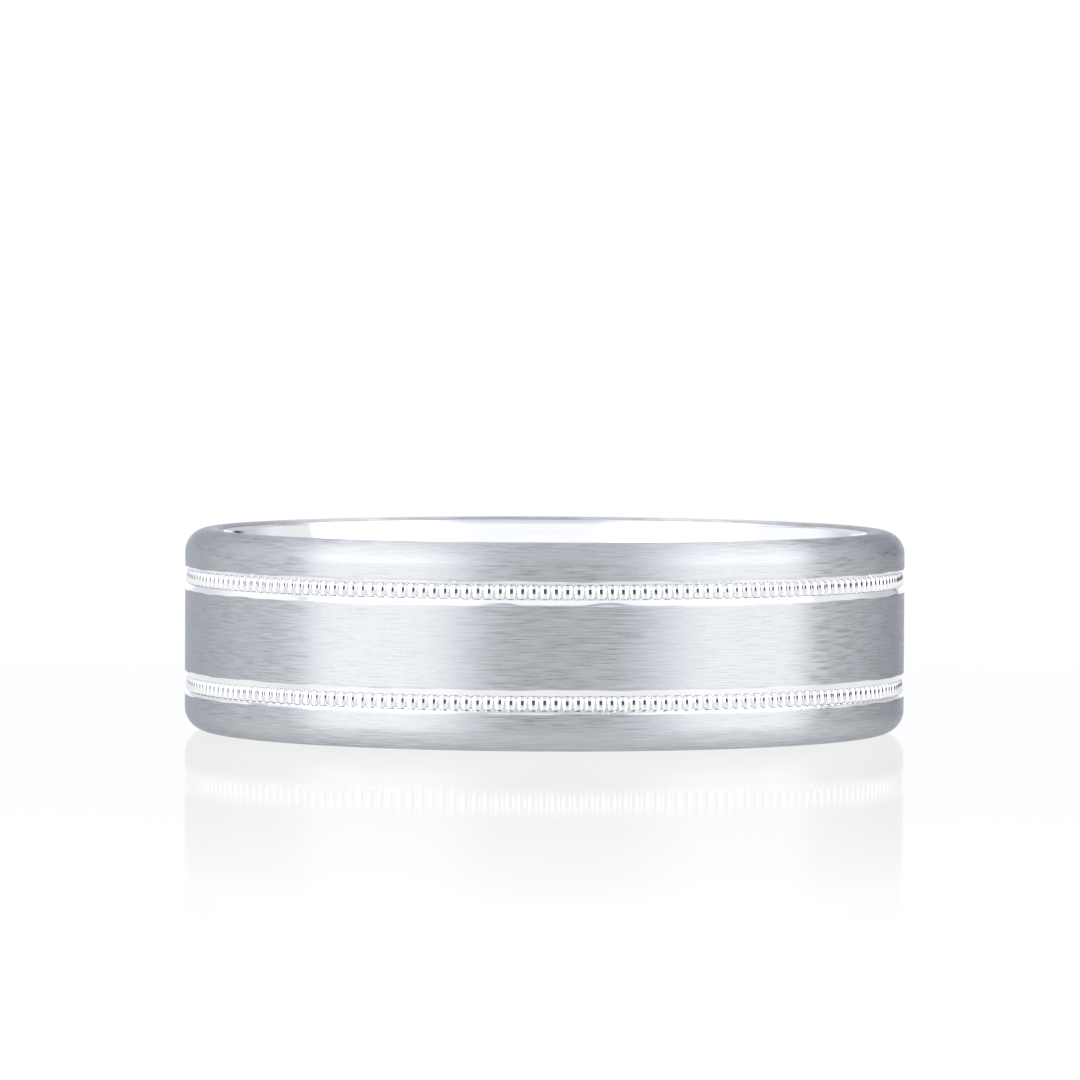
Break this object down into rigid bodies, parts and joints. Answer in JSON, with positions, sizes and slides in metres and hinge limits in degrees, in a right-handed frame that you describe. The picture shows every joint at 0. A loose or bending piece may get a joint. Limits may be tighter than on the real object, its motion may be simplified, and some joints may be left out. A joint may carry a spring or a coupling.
{
  "type": "wedding band",
  "caption": "Straight-sided comfort-fit wedding band in white gold, with brushed fields divided by two grooves of milgrain beading between bright cuts.",
  "frame": {"origin": "on the ring's axis, in the plane of the lower rim, where the band rests when it lies flat", "axes": "+Z along the ring's axis, from the lower rim to the upper rim; X and Y are alike, because the band is round"},
  "size_m": [0.0232, 0.0232, 0.0065],
  "materials": {
    "polished_white_gold": "polished",
    "brushed_white_gold": "satin",
    "beaded_white_gold": "gloss"
  },
  "bodies": {
    "root": {"comfort_fit_sleeve": "polished_white_gold", "lower_edge_band": "brushed_white_gold", "lower_milgrain_ring": "beaded_white_gold", "centre_band": "brushed_white_gold", "upper_milgrain_ring": "beaded_white_gold", "upper_edge_band": "brushed_white_gold"}
  },
  "joints": []
}
